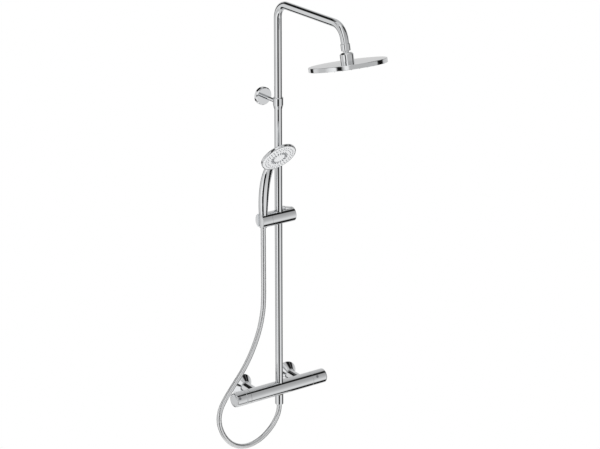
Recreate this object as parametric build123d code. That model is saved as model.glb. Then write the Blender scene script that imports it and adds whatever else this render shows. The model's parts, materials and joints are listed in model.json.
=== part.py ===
"""Rainfall shower column: bar valve, riser, swivel arm, rain head, slider, handset and hose.

Frame: millimetres, +Z up, -Y into the room. The wall is the plane Y = 0, and the origin is
midway between the two water inlets on that wall.
"""
from build123d import *
from math import cos, radians, sin, tan
import os

# Fits, as radial or face clearances
RUNNING = 0.05
LOOSE = 0.10
GAP = 0.40

# Where the main axes are
RISER_OUT = 77.0
INLET_CENTRES = 150.0
BRACKET_HEIGHT = 827.0
ARM_HEIGHT = 1096.5
SLIDER_HEIGHT = 505.0

# Bar valve
BAR_DIA = 40.0
BODY_LENGTH = 207.0
HANDLE_LENGTH = 47.5
HANDLE_WALL = 3.5
HANDLE_EDGE = 5.0
HANDLE_LIP = 4.0
END_BORE_DIA = 30.0
CHAMBER_LENGTH = 56.0
CHAMBER_DIA = 14.0
NECK_DIA = 30.0
NECK_FLARE = 5.0

# Water inlets, from the wall outwards
TAIL_DIA = 20.96
TAIL_LENGTH = 16.0
UNION_COLLAR = 2.5
UNION_COLLAR_DIA = 31.0
UNION_THREAD = 6.5
UNION_THREAD_DIA = 26.4
UNION_BORE_DIA = 14.0
WASHER = 2.0
NIPPLE_FLANGE = 2.5
NIPPLE_FLANGE_DIA = 24.0
NIPPLE_DIA = 18.0
NIPPLE_DEPTH = 34.0
NUT_LIP = 2.5
NUT_FLATS = 30.0
WATERWAY_DIA = 12.0
CHECK_VALVE_DIA = 13.0
CHECK_VALVE_LENGTH = 16.0
CHECK_SEAT = 6.0
CHECK_THROAT_DIA = 6.0
CHECK_BORE_DIA = 10.0
CHECK_TAPER = 8.0
CHECK_SPOKE = 1.6
CHECK_SPIDER = 2.5
ROSETTE_DIA = 64.0
ROSETTE_FRONT_DIA = 34.0
ROSETTE_WALL = 1.5
ROSETTE_EDGE = 1.5
ROSETTE_SPACE = 4.0
ROSETTE_ROUND = 1.0
ROSETTE_LAND = 0.6
NECK_ENTRY = 1.0

# Tubes of the column
TUBE_DIA = 21.0
TUBE_WALL = 1.2
SOCKET_FLOOR = 7.0
SPIGOT_LENGTH = 37.0
SPIGOT_FLANGE = 2.5
O_RING_SECTION = 1.9
ARM_BEND = 40.0
ARM_REACH = 296.0
END_BEND = 45.0
END_TILT = 14.0
GRUB_DIA = 5.0
COLLAR_GRUB_DIA = 3.8
COLLAR_GRUB_DROP = 8.5
COLLAR_GRUB_DEPTH = 1.0

# Wall bracket
COLLAR_DIA = 27.5
COLLAR_ABOVE = 13.5
COLLAR_BELOW = 17.0
COLLAR_TAPER = 10.0
COLLAR_BELL = 14.0
STEM_DIA = 11.0
STEM_SEAT = 2.0
FLANGE_DIA = 49.0
FLANGE_DEPTH = 11.0
FLANGE_WALL = 1.6
PLATE_THICKNESS = 4.0
PLATE_BOSS = 8.0
PLATE_BOSS_DEPTH = 3.5
SCREW_SPACING = 26.0
SCREW_DIA = 4.2
SCREW_SHANK_DIA = 3.6
SCREW_HEAD_DIA = 8.4
SCREW_HEAD = 2.6
SCREW_LENGTH = 20.0
SCREW_POINT = 5.0

# Ball joint under the arm, distances along the tilted axis
FERRULE_START = 10.0
FERRULE_DIA = 24.5
FERRULE_LENGTH = 18.0
FERRULE_FLOOR = 8.0
BALL_NECK_DIA = 14.0
BALL_DIA = 24.0
BALL_DROP = 44.0
CUP_DIA = 35.0
CUP_RISE = 11.5
CUP_LENGTH = 22.0
CUP_CHAMFER = 4.0
CUP_MOUTH_DIA = 23.6
CUP_THROAT_DIA = 20.8
CUP_WALL = 2.4
BOWL_HALF = 7.0
SEAT_THICKNESS = 2.45
SEAT_LENGTH = 7.0
SEAT_DROP = 1.5

# Rain head
HEAD_DIA = 200.0
HEAD_RIM = 11.5
HEAD_DOME = 3.0
HEAD_WALL = 1.6
HEAD_BORE_DIA = 21.0
PLATE = 3.0
PLATE_INSET = 0.6
MAT = 1.5
NOZZLE_RINGS = 4
NOZZLE_PITCH = 20.5
NOZZLE_DIA = 4.4
NOZZLE_TIP_DIA = 2.6
NOZZLE_PROUD = 2.6

# Slider and handset cradle
SLIDER_DIA = 40.0
SLIDER_RIGHT = 45.5
SLIDER_EDGE = 1.2
CRADLE_LEFT = 62.0
CRADLE_SPLIT = 31.0
CRADLE_SLOT = 16.0
BUSH_WALL = 1.2
BUSH_HALF = 15.5
BUTTON_LEFT = 17.0
BUTTON_LENGTH = 23.0
BUTTON_WIDTH = 14.0
BUTTON_PROUD = 6.5
BUTTON_POCKET = 8.0
BUTTON_TRAVEL = 3.0
BUTTON_SPARE = 0.5
BUTTON_EDGE = 1.5
PIVOT_DIA = 10.0
PIVOT_LEFT = 6.5
PIVOT_RIGHT = 14.0
BRAKE_DIA = 8.0
BRAKE_DROP = 3.0
BRAKE_START = 7.0
BRAKE_LENGTH = 5.0
BRAKE_SPRING_RADIUS = 2.9
BRAKE_SPRING_WIRE = 1.0
BRAKE_SPRING_PITCH = 2.4
CAP = 2.5
CAP_PLUG = 12.0

# Handset, in the upright plane through the cradle's cone
HANDSET_LEFT = 50.0
CONE_BOTTOM_DIA = 19.4
CONE_TOP_DIA = 23.6
CONE_BELOW = 20.0
CONE_ABOVE = 20.0
HOSE_THREAD_DIA = 20.8
HANDSET_THREAD = 11.0
HOSE_DIA = 14.0
FACE_OUT = 77.2
FACE_RISE = 197.0
FACE_DOWN = 37.0
HANDSET_HEAD_DIA = 100.0
HANDSET_RIM = 8.0
HANDSET_DOME = 6.0
DOME_SHARE = 0.55
FACE_DIA = 95.0
FACE_THICKNESS = 3.5
FACE_LEDGE = 4.0
FACE_PROUD = 0.6
FACE_MAT = 1.2
FACE_NOZZLE_PROUD = 1.2
FACE_RINGS = (33.0, 40.0)
FACE_RING_COUNTS = (24, 32)
FACE_NOZZLE_DIA = 2.4
FACE_DASHES = 18
DASH_START = 15.5
DASH_END = 25.0
DASH_WIDTH = 2.6
INLAY_START = 6.0
INLAY_SHARE = 0.70
INLAY_BOTTOM_WIDTH = 17.0
INLAY_TOP_WIDTH = 23.0
INLAY_CORNER = 4.0
INLAY_GROOVE = 0.5
INLAY_DEPTH = 1.4
WATER_WAY_DIA = 9.0
WATER_WAY_BEND = 30.0

# Oval sections up the handle: share of the way out, share of the rise, half width, half depth,
# share of the face's lean
HANDLE_STATIONS = [
    (0.0, 0.0, 11.8, 11.8, 0.0),
    (0.013, 0.13, 13.4, 11.8, 0.08),
    (0.078, 0.38, 14.6, 11.4, 0.30),
    (0.22, 0.61, 14.6, 10.4, 0.70),
    (0.453, 0.80, 14.2, 7.6, 1.0),
    (0.687, 0.905, 14.0, 5.0, 1.08),
]

# Bends of the water way in the handle: share of the way out, share of the rise
WATER_WAY = [(0.013, 0.30), (0.21, 0.62), (0.459, 0.80), (0.723, 0.914)]

# Outlet under the bar
HOSE_NUT_DIA = 23.5
HOSE_NUT_TAPER = 4.0
OUTLET_SEAT = 17.5
OUTLET_THREAD = 15.5
OUTLET_TOP = 9.0
OUTLET_BORE_DIA = 8.0
INSERT_FLANGE = 3.0
OUTLET_BOTTOM = 51.0

# Shower controls
SPINDLE_DIA = 10.0
BUTTON_DIA = 8.0
STOP_BUTTON_TRAVEL = 2.0
STOP_BUTTON_PROUD = 0.6
ECO_BUTTON_AT = 141.0
SAFETY_BUTTON_AT = 117.5
STOP_BUTTON_TURN = 30.0
STOP_BUTTON_FOOT = 15.4
STOP_SPRING_SPACE = 3.2
GUIDE_WALL = 1.5
GUIDE_FOOT = 9.0
HUB_DEPTH = 21.0
HUB_LENGTH = 5.0
SPINDLE_PROUD = 4.0
CARTRIDGE_STEP = 7.0
CARTRIDGE_NOSE = 8.0
CARTRIDGE_NOSE_DIA = 22.0
CARTRIDGE_BORE_DIA = 20.0
CARTRIDGE_HEAD = 19.0
CARTRIDGE_FLOOR = 4.0
WINDOW_DIA = 6.0
WINDOW_OFFSET = 3.0
STOP_RING_WALL = 3.0
STOP_RING_LENGTH = 5.0
STOP_TOOTH = 1.4
PORT_DIA = 4.8
PORT_OUT = 5.2
DISC_START = 36.0
DISC_MEET = 41.0
DISC_END = 46.6
FIXED_DISC_DIA = 19.8
MOVING_DISC_DIA = 19.4
SPINDLE_FOOT_DIA = 18.0
SPINDLE_FOOT = 3.4
SHUTTLE_START = 52.0
SHUTTLE_END = 62.0
SHUTTLE_PORT_DIA = 2.8
SHUTTLE_PORT_OUT = 7.0
WAX_DIA = 8.4
WAX_START = 38.0
WAX_SPRING_RADIUS = 7.6
WAX_SPRING_WIRE = 1.6
WAX_SPRING_START = 32.0
WAX_SPRING_END = 47.0
WAX_SPRING_PITCH = 3.6
TEMPERATURE_FOOT_DIA = 16.0
TEMPERATURE_FOOT_START = 68.0
TEMPERATURE_FOOT_END = 74.0
HANDLE_CAP_LAND = 2.0
HANDLE_CAP_INSET = 0.2
GROOVE_AT = 117.0
GROOVE_WIDTH = 1.2
GROOVE_DEPTH = 0.7

# Worked out from the values above
AXIS_Y = -RISER_OUT
BAR_R = BAR_DIA / 2
BODY_HALF = BODY_LENGTH / 2
TUBE_R = TUBE_DIA / 2
TUBE_BORE_R = TUBE_R - TUBE_WALL
THREAD_START = -UNION_COLLAR
THREAD_END = THREAD_START - UNION_THREAD
FLANGE_BACK = THREAD_END - WASHER
FLANGE_FRONT = FLANGE_BACK - NIPPLE_FLANGE
NUT_FRONT = FLANGE_FRONT - NUT_LIP
ROSETTE_FRONT = NUT_FRONT - ROSETTE_WALL - ROSETTE_SPACE
NECK_END = ROSETTE_FRONT + NECK_ENTRY
NIPPLE_END = FLANGE_FRONT - NIPPLE_DEPTH
SPIGOT_SPLIT = BRACKET_HEIGHT - 1.0
ARM_BOTTOM = SPIGOT_SPLIT + SPIGOT_FLANGE + GAP
SLIDER_R = SLIDER_DIA / 2
SLIDER_END = SLIDER_RIGHT - CAP
BUSH_R = TUBE_R + RUNNING + BUSH_WALL
NUT_BOTTOM = SLIDER_HEIGHT - CONE_BELOW
NUT_TOP = SLIDER_HEIGHT + CONE_ABOVE
INSERT_TOP = NUT_TOP - HANDSET_THREAD
FACE_HEIGHT = SLIDER_HEIGHT + FACE_RISE
GRIP_BOTTOM = NUT_TOP + GAP
GRIP_RISE = FACE_HEIGHT - GRIP_BOTTOM
FLOW_WINDOW_AT = INLET_CENTRES / 2 - WINDOW_OFFSET
THERMOSTAT_WINDOW_AT = INLET_CENTRES / 2 + WINDOW_OFFSET
HANDLE_START = BODY_HALF + GAP
HANDLE_END = HANDLE_START + HANDLE_LENGTH
HANDLE_MOUTH_R = BAR_R - HANDLE_EDGE - HANDLE_CAP_LAND
SPINDLE_END = HANDLE_START + HUB_DEPTH + HUB_LENGTH + SPINDLE_PROUD

# Route of the hose in the upright plane of the riser: X and Z, from the outlet to the cone nut
HOSE_LOOP = [
    (0, -51), (0, -66), (-10, -92), (-32, -119), (-66, -142), (-108, -151),
    (-150, -138), (-183, -103), (-201, -56), (-196, -16), (-174, 18), (-143, 54), (-127.5, 73),
]
HOSE_DROP = [
    (-127.5, 73), (-112, 92), (-86, 137), (-66, 184), (-54, 232), (-50, 272), (-50, 310),
]
HOSE_NECK = [(-50, 310.4), (-50, 400)]
HOSE_TAIL = [(-50, 400), (-50, 485)]


def along_x(x, y=AXIS_Y, z=0.0):
    return Plane(origin=(x, y, z), x_dir=(0, 1, 0), z_dir=(1, 0, 0))


def along_y(x, y, z=0.0):
    return Plane(origin=(x, y, z), x_dir=(1, 0, 0), z_dir=(0, 1, 0))


def along_z(x, y, z=0.0):
    return Plane(origin=(x, y, z), x_dir=(1, 0, 0), z_dir=(0, 0, 1))


BAR = along_x(0)
RISER = along_z(0, AXIS_Y)
SLIDER = along_x(0, AXIS_Y, SLIDER_HEIGHT)
BRAKE = along_x(0, AXIS_Y, SLIDER_HEIGHT - BRAKE_DROP)
CONE =along_z(-HANDSET_LEFT, AXIS_Y)
FACE = Plane(
    origin=(-HANDSET_LEFT, AXIS_Y - FACE_OUT, FACE_HEIGHT),
    x_dir=(1, 0, 0),
    z_dir=(0, cos(radians(FACE_DOWN)), sin(radians(FACE_DOWN))),
)


def rod(plane, radius, start, end):
    """Cylinder about the plane's normal, between two distances along it."""
    low, high = min(start, end), max(start, end)
    shape = Cylinder(radius, high - low, align=(Align.CENTER, Align.CENTER, Align.MIN))
    return plane.offset(low) * shape


def ring(plane, outer, inner, start, end):
    return rod(plane, outer, start, end) - rod(plane, inner, start, end)


def turned(plane, points, rounds=()):
    """Lathe shape: (radius, distance) points spun about the plane's normal, corners rounded."""
    face = make_face(Polyline(*[(r, 0, h) for r, h in points], close=True))
    for corner, size in rounds:
        at_r, at_h = points[corner]
        nearest = face.vertices().sort_by(lambda v: (v.X - at_r) ** 2 + (v.Z - at_h) ** 2)[0]
        face = fillet(nearest, size)
    return plane * revolve(face, Axis.Z, 360)


def coil(plane, radius, wire, start, end, pitch):
    """Coil spring about the plane's normal."""
    path = Helix(pitch=pitch, height=end - start - wire, radius=radius)
    section = Plane(origin=path @ 0, z_dir=path % 0) * Circle(wire / 2)
    return plane.offset(start + wire / 2) * sweep(section, path=path)


def tube_along(points, radius, y):
    """Round tube along a hose route: straight runs joined by the largest arcs that fit."""
    corners = [Vector(x, y, z) for x, z in points]
    if len(corners) == 2:
        path = Line(*corners)
    else:
        runs = [(after - before).length for before, after in zip(corners, corners[1:])]
        room = [0.45 * run for run in runs]
        room[0], room[-1] = 0.9 * runs[0], 0.9 * runs[-1]
        radii = []
        for number in range(1, len(runs)):
            before, here, after = corners[number - 1:number + 2]
            turn = (here - before).get_angle(after - here)
            radii.append(min(room[number - 1], room[number]) / tan(radians(turn) / 2))
        print("arc radii", [round(r) for r in radii])
        path = FilletPolyline(*corners, radius=radii)
    section = Plane(origin=path @ 0, z_dir=path % 0) * Circle(radius)
    solid = sweep(section, path=path)
    area = 3.14159265 * radius ** 2
    print("tube length", round(path.length, 1), "volume ratio", round(solid.volume / (area * path.length), 4))
    return solid


def inlet(side):
    """Axis of a water inlet, from the wall plane into the wall."""
    return along_y(side * INLET_CENTRES / 2, 0)


def pair(make):
    """The same piece on the hot side and on the cold side."""
    return Compound([make(-1).solid(), make(1).solid()])


def end_axis(side):
    """Axis of the bar, outwards to its left or right end."""
    return Plane(origin=(0, AXIS_Y, 0), x_dir=(0, 1, 0), z_dir=(side, 0, 0))


def valve_body():
    body = rod(BAR, BAR_R, -BODY_HALF, BODY_HALF)
    for side in (-1, 1):
        body += rod(inlet(side), NECK_DIA / 2, AXIS_Y, NECK_END)
    seams = body.edges().filter_by(
        lambda e: e.geom_type not in (GeomType.LINE, GeomType.CIRCLE) and e.center().Y > AXIS_Y
    )
    body = fillet(seams, NECK_FLARE)
    half_chamber = CHAMBER_LENGTH / 2
    body -= rod(BAR, CHAMBER_DIA / 2, -half_chamber, half_chamber)
    for side in (-1, 1):
        body -= rod(BAR, END_BORE_DIA / 2, side * half_chamber, side * BODY_HALF)
        body -= rod(inlet(side), NIPPLE_DIA / 2 + LOOSE, NIPPLE_END, NECK_END)
        body -= rod(inlet(side), WATERWAY_DIA / 2, AXIS_Y, NECK_END)
    body -= rod(RISER, TUBE_R + LOOSE, SOCKET_FLOOR, BAR_R)
    body -= rod(RISER, WATERWAY_DIA / 2, 0, BAR_R)
    body -= rod(RISER, HOSE_NUT_DIA / 2 + GAP, -OUTLET_SEAT, -BAR_R)
    body -= rod(RISER, NIPPLE_DIA / 2 - 1 + LOOSE, -OUTLET_SEAT, -OUTLET_TOP)
    body -= rod(RISER, OUTLET_BORE_DIA / 2, 0, -OUTLET_SEAT)
    grub = along_y(0, AXIS_Y, (SOCKET_FLOOR + BAR_R) / 2)
    body -= rod(grub, GRUB_DIA / 2 + LOOSE, 0, BAR_R)
    return body


def wall_union(side):
    axis = inlet(side)
    shape = rod(axis, TAIL_DIA / 2, 0, TAIL_LENGTH)
    shape += rod(axis, UNION_COLLAR_DIA / 2, 0, THREAD_START)
    shape += rod(axis, UNION_THREAD_DIA / 2, THREAD_START, THREAD_END)
    return shape - rod(axis, UNION_BORE_DIA / 2, TAIL_LENGTH, THREAD_END)


def inlet_nipple(side):
    axis = inlet(side)
    shape = rod(axis, NIPPLE_FLANGE_DIA / 2, FLANGE_BACK, FLANGE_FRONT)
    shape += rod(axis, NIPPLE_DIA / 2, FLANGE_FRONT, NIPPLE_END)
    shape -= rod(axis, WATERWAY_DIA / 2 - 2, FLANGE_BACK, NIPPLE_END)
    pocket = CHECK_VALVE_DIA / 2 + LOOSE
    return shape - rod(axis, pocket, FLANGE_BACK, NIPPLE_END + CHECK_SEAT)


def check_valve(side):
    axis = inlet(side)
    seat = NIPPLE_END + CHECK_SEAT
    end = seat + CHECK_VALVE_LENGTH
    throat, bore = CHECK_THROAT_DIA / 2, CHECK_BORE_DIA / 2
    shape = rod(axis, CHECK_VALVE_DIA / 2, seat, end)
    shape -= turned(axis, [(0, seat), (throat, seat), (bore, seat + CHECK_TAPER), (bore, end), (0, end)])
    spokes = Box(CHECK_BORE_DIA + 1, CHECK_SPOKE, CHECK_SPIDER)
    spider = axis.offset(end - CHECK_SPIDER) * (spokes + Rot(0, 0, 90) * spokes)
    return shape + spider


def union_nut(side):
    axis = inlet(side)
    back = THREAD_START - GAP
    section = RegularPolygon(NUT_FLATS / 2, 6, major_radius=False)
    hexagon = axis.offset(NUT_FRONT) * extrude(section, back - NUT_FRONT)
    hexagon -= rod(axis, UNION_THREAD_DIA / 2 + LOOSE, FLANGE_FRONT, back)
    return hexagon - rod(axis, NIPPLE_DIA / 2 + GAP, NUT_FRONT, FLANGE_FRONT)


def rosette(side):
    outer, front = ROSETTE_DIA / 2, ROSETTE_FRONT_DIA / 2
    hole = NECK_DIA / 2 + LOOSE
    wall = ROSETTE_WALL
    return turned(
        inlet(side),
        [(hole, ROSETTE_FRONT), (front, ROSETTE_FRONT), (outer, -ROSETTE_EDGE), (outer, 0),
         (outer - wall, 0), (outer - wall, wall - ROSETTE_EDGE - ROSETTE_LAND),
         (front - wall, ROSETTE_FRONT + wall), (hole, ROSETTE_FRONT + wall)],
        rounds=[(1, ROSETTE_ROUND), (2, ROSETTE_ROUND)],
    )


def cartridge(side, window_at):
    """Hollow cartridge housing pressed against the shoulder of an end bore."""
    shoulder = CHAMBER_LENGTH / 2
    nose = BODY_HALF + CARTRIDGE_NOSE
    step, head = BODY_HALF - CARTRIDGE_STEP, BODY_HALF - CARTRIDGE_HEAD
    axis = end_axis(side)
    shape = rod(axis, END_BORE_DIA / 2 - LOOSE, shoulder, step)
    shape += rod(axis, CARTRIDGE_NOSE_DIA / 2, step, nose)
    shape -= rod(axis, CARTRIDGE_BORE_DIA / 2, shoulder + CARTRIDGE_FLOOR, head)
    shape -= rod(axis, OUTLET_BORE_DIA / 2, shoulder, shoulder + CARTRIDGE_FLOOR)
    shape -= rod(axis, SPINDLE_DIA / 2 + RUNNING, head, nose)
    across = along_y(side * window_at, AXIS_Y)
    return shape - rod(across, WINDOW_DIA / 2, -END_BORE_DIA / 2, END_BORE_DIA / 2)


def stop_ring(side):
    """Toothed ring on the cartridge's nose that gives the handle its end stops."""
    axis = end_axis(side)
    inner = CARTRIDGE_NOSE_DIA / 2
    outer, length = inner + STOP_RING_WALL, STOP_RING_LENGTH
    shape = ring(axis, outer, inner + LOOSE, BODY_HALF, BODY_HALF + length)
    tooth = Box(STOP_TOOTH + 1, length, length, align=(Align.MAX, Align.CENTER, Align.MIN))
    return shape + axis.offset(BODY_HALF) * (Pos(outer + STOP_TOOTH, 0, 0) * tooth)


def thermostat_shuttle():
    """Shuttle that meters hot and cold water, with its wax element pressed in."""
    start, end, wax = SHUTTLE_START, SHUTTLE_END, WAX_DIA / 2
    shape = rod(BAR, CARTRIDGE_BORE_DIA / 2 - RUNNING, start, end)
    port = Cylinder(SHUTTLE_PORT_DIA / 2, end - start + 2)
    for turn in range(0, 360, 60):
        shape -= BAR * (Rot(0, 0, turn) * (Pos(SHUTTLE_PORT_OUT, 0, (start + end) / 2) * port))
    return shape + turned(BAR, [(0, WAX_START), (wax, WAX_START), (wax, start), (0, start)], rounds=[(1, 1.2)])


def thermostat_spring():
    return coil(BAR, WAX_SPRING_RADIUS, WAX_SPRING_WIRE, WAX_SPRING_START, WAX_SPRING_END, WAX_SPRING_PITCH)


def ceramic_disc(start, end, radius):
    """Lapped disc with two water ports."""
    shape = rod(BAR, radius, start, end)
    port = Cylinder(PORT_DIA / 2, abs(end - start) + 1)
    for turn in (0, 180):
        shape -= BAR * (Rot(0, 0, turn) * (Pos(PORT_OUT, 0, (start + end) / 2) * port))
    return shape


def flow_spindle():
    shape = rod(BAR, SPINDLE_DIA / 2, -DISC_END, -SPINDLE_END)
    return shape + rod(BAR, SPINDLE_FOOT_DIA / 2, -DISC_END, -DISC_END - SPINDLE_FOOT)


def temperature_spindle():
    shape = rod(BAR, SPINDLE_DIA / 2, TEMPERATURE_FOOT_START, SPINDLE_END)
    return shape + rod(BAR, TEMPERATURE_FOOT_DIA / 2, TEMPERATURE_FOOT_START, TEMPERATURE_FOOT_END)


def button_axis(side, at):
    """Axis of a stop button: out of the bar, towards the room and upwards."""
    lift = radians(STOP_BUTTON_TURN)
    return Plane(origin=(side * at, AXIS_Y, 0), x_dir=(1, 0, 0), z_dir=(0, -cos(lift), sin(lift)))


def handle(side, button_at, groove):
    """Round handle: a hollow cup with a hub for the spindle and a guide for its stop button."""
    axis = end_axis(side)
    inner = BAR_R - HANDLE_WALL
    hub_start, hub_end = HANDLE_START + HUB_DEPTH, HANDLE_START + HUB_DEPTH + HUB_LENGTH
    shape = turned(axis, [(0, HANDLE_START), (BAR_R, HANDLE_START), (BAR_R, HANDLE_END), (0, HANDLE_END)],
                   rounds=[(1, 0.4), (2, HANDLE_EDGE)])
    shape -= rod(axis, inner, HANDLE_START, hub_start)
    shape -= rod(axis, inner, hub_end, HANDLE_END - HANDLE_LIP)
    shape -= rod(axis, HANDLE_MOUTH_R, HANDLE_END - HANDLE_LIP, HANDLE_END)
    shape -= rod(axis, SPINDLE_DIA / 2 + LOOSE, hub_start, hub_end)
    guide = button_axis(side, button_at)
    floor = STOP_BUTTON_FOOT - STOP_BUTTON_TRAVEL - STOP_SPRING_SPACE
    shape += rod(guide, BUTTON_DIA / 2 + GUIDE_WALL, GUIDE_FOOT, BAR_R - 1)
    shape -= rod(guide, BUTTON_DIA / 2 + RUNNING, floor, BAR_R + 1)
    if groove:
        shape -= ring(axis, BAR_R + 1, BAR_R - GROOVE_DEPTH, GROOVE_AT, GROOVE_AT + GROOVE_WIDTH)
    return shape


def handle_cap(side):
    axis = end_axis(side)
    rim = HANDLE_MOUTH_R - LOOSE
    start, end = HANDLE_END - HANDLE_LIP, HANDLE_END - HANDLE_CAP_INSET
    return turned(axis, [(0, start), (rim, start), (rim, end), (0, end)], rounds=[(2, 0.3)])


def stop_button(side, at):
    guide = button_axis(side, at)
    foot, rest = STOP_BUTTON_FOOT, BAR_R + STOP_BUTTON_PROUD
    side_r = BUTTON_DIA / 2
    return turned(guide, [(0, foot), (side_r, foot), (side_r, rest), (0, rest)], rounds=[(2, 0.8)])


def outlet_nipple():
    shank = NIPPLE_DIA / 2 - 1
    shape = rod(RISER, shank, -OUTLET_TOP, -OUTLET_SEAT)
    shape += rod(RISER, HOSE_THREAD_DIA / 2, -OUTLET_SEAT, -OUTLET_SEAT - OUTLET_THREAD)
    return shape - rod(RISER, OUTLET_BORE_DIA / 2, -OUTLET_TOP, -OUTLET_SEAT - OUTLET_THREAD)


def hose_insert(axis, flange_at, end):
    """Barbed insert that the nut pulls against the washer; the hose starts at its far face."""
    direction = 1 if end > flange_at else -1
    shape = rod(axis, HOSE_THREAD_DIA / 2 - 0.3, flange_at, flange_at + direction * INSERT_FLANGE)
    shape += rod(axis, HOSE_DIA / 2, flange_at, end)
    return shape - rod(axis, OUTLET_BORE_DIA / 2, flange_at, end)


def sealing_washers():
    """Flat washers at both inlets, under the riser and at the hose outlet."""
    washers = []
    for side in (-1, 1):
        washers.append(ring(inlet(side), NIPPLE_FLANGE_DIA / 2, WATERWAY_DIA / 2, THREAD_END, FLANGE_BACK))
    washers.append(ring(RISER, TUBE_R, WATERWAY_DIA / 2, SOCKET_FLOOR, SOCKET_FLOOR + WASHER))
    start = -OUTLET_SEAT - OUTLET_THREAD
    washers.append(ring(RISER, HOSE_THREAD_DIA / 2, 5.0, start, start - WASHER))
    return Compound([washer.solid() for washer in washers])


def outlet_insert():
    return hose_insert(RISER, -OUTLET_SEAT - OUTLET_THREAD - WASHER, -OUTLET_BOTTOM)


def outlet_nut():
    lip = -OUTLET_SEAT - OUTLET_THREAD - WASHER - INSERT_FLANGE
    outer, bore = HOSE_NUT_DIA / 2, HOSE_DIA / 2 + LOOSE
    top = -OUTLET_SEAT - GAP
    shape = turned(
        RISER,
        [(HOSE_THREAD_DIA / 2 + LOOSE, top), (outer, top), (outer, HOSE_NUT_TAPER - OUTLET_BOTTOM),
         (HOSE_DIA / 2 + 1.4, -OUTLET_BOTTOM), (bore, -OUTLET_BOTTOM), (bore, lip),
         (HOSE_THREAD_DIA / 2 + LOOSE, lip)],
        rounds=[(1, 0.5), (2, 1.6)],
    )
    return shape


def riser_tube():
    return ring(RISER, TUBE_R, TUBE_BORE_R, SOCKET_FLOOR + WASHER, SPIGOT_SPLIT)


def grub_screw(height, diameter, reach):
    """Socket grub screw from behind, with its point on the riser."""
    axis = along_y(0, AXIS_Y, height)
    point = TUBE_R + RUNNING
    shape = rod(axis, diameter / 2, point, reach)
    socket = axis.offset(reach) * extrude(RegularPolygon(diameter / 4, 6), (point - reach) / 2)
    return (shape - socket).solid()


def grub_screws():
    """Screws that hold the riser in the valve and in the bracket's collar."""
    in_valve = grub_screw((SOCKET_FLOOR + BAR_R) / 2, GRUB_DIA, BAR_R - 5.5)
    collar_end = COLLAR_DIA / 2 - COLLAR_GRUB_DEPTH
    in_collar = grub_screw(BRACKET_HEIGHT - COLLAR_GRUB_DROP, COLLAR_GRUB_DIA, collar_end)
    return Compound([in_valve, in_collar])


def swivel_spigot():
    fit = TUBE_BORE_R - LOOSE
    low, high = SPIGOT_SPLIT - SPIGOT_LENGTH, SPIGOT_SPLIT + SPIGOT_FLANGE + SPIGOT_LENGTH
    shape = rod(RISER, fit, low, high)
    shape += rod(RISER, TUBE_R, SPIGOT_SPLIT, SPIGOT_SPLIT + SPIGOT_FLANGE)
    shape -= rod(RISER, WATERWAY_DIA / 2, low, high)
    for height in o_ring_heights():
        half = O_RING_SECTION / 2 + LOOSE
        shape -= ring(RISER, TUBE_R, fit - O_RING_SECTION, height - half, height + half)
    return shape


def o_ring_heights():
    top = SPIGOT_SPLIT + SPIGOT_FLANGE + SPIGOT_LENGTH
    return (top - 8.0, top - 16.0)


def swivel_o_rings():
    """Two rubber rings that seal the swivelling arm on its spigot."""
    middle = TUBE_BORE_R - LOOSE - O_RING_SECTION / 2 + RUNNING / 2
    return Compound([along_z(0, AXIS_Y, height) * Torus(middle, O_RING_SECTION / 2 - RUNNING / 2).solid()
                     for height in o_ring_heights()])


def bracket_collar():
    low, high = BRACKET_HEIGHT - COLLAR_BELOW, BRACKET_HEIGHT + COLLAR_ABOVE
    outer = COLLAR_DIA / 2
    shape = turned(
        RISER,
        [(TUBE_R + LOOSE, low), (TUBE_R + 0.8, low), (outer, low + COLLAR_TAPER), (outer, high - 1.0),
         (outer - 1.0, high), (TUBE_R + LOOSE, high)],
        rounds=[(2, COLLAR_BELL)],
    )
    stem = along_y(0, AXIS_Y, BRACKET_HEIGHT)
    shape -= rod(stem, STEM_DIA / 2 + LOOSE, outer - STEM_SEAT, outer + 5)
    grub = along_y(0, AXIS_Y, BRACKET_HEIGHT - COLLAR_GRUB_DROP)
    return shape - rod(grub, COLLAR_GRUB_DIA / 2 + LOOSE, 0, outer)


def bracket_stem():
    axis = along_y(0, 0, BRACKET_HEIGHT)
    return rod(axis, STEM_DIA / 2, AXIS_Y + COLLAR_DIA / 2 - STEM_SEAT, -PLATE_THICKNESS)


def bracket_plate():
    axis = along_y(0, 0, BRACKET_HEIGHT)
    shape = rod(axis, FLANGE_DIA / 2 - FLANGE_WALL - 1.0, -PLATE_THICKNESS, 0)
    boss_end = -PLATE_THICKNESS - PLATE_BOSS_DEPTH
    shape += ring(axis, PLATE_BOSS, STEM_DIA / 2 + LOOSE, boss_end, -PLATE_THICKNESS)
    for hole in screw_axes():
        shape -= rod(hole, SCREW_DIA / 2 + LOOSE, -PLATE_THICKNESS, 0)
    return shape


def screw_axes():
    """Axes of the wall screws, one above the stem and one below it."""
    return [along_y(0, 0, BRACKET_HEIGHT + side * SCREW_SPACING / 2) for side in (-1, 1)]


def bracket_screws():
    """Two wall screws with round heads, their shanks in the plate and their threads in the wall."""
    screws = []
    front, shank, thread = -PLATE_THICKNESS, SCREW_SHANK_DIA / 2, SCREW_DIA / 2
    for axis in screw_axes():
        head = front - SCREW_HEAD
        screw = turned(
            axis,
            [(0, head), (SCREW_HEAD_DIA / 2 - 1.2, head), (SCREW_HEAD_DIA / 2, front), (shank, front),
             (shank, 0), (thread, 0), (thread, SCREW_LENGTH - SCREW_POINT), (0.3, SCREW_LENGTH),
             (0, SCREW_LENGTH)],
        )
        cross = Box(4.4, 0.9, 1.6)
        screw -= axis.offset(head + 0.8) * (cross + Rot(0, 0, 90) * cross)
        screws.append(screw.solid())
    return Compound(screws)


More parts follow.
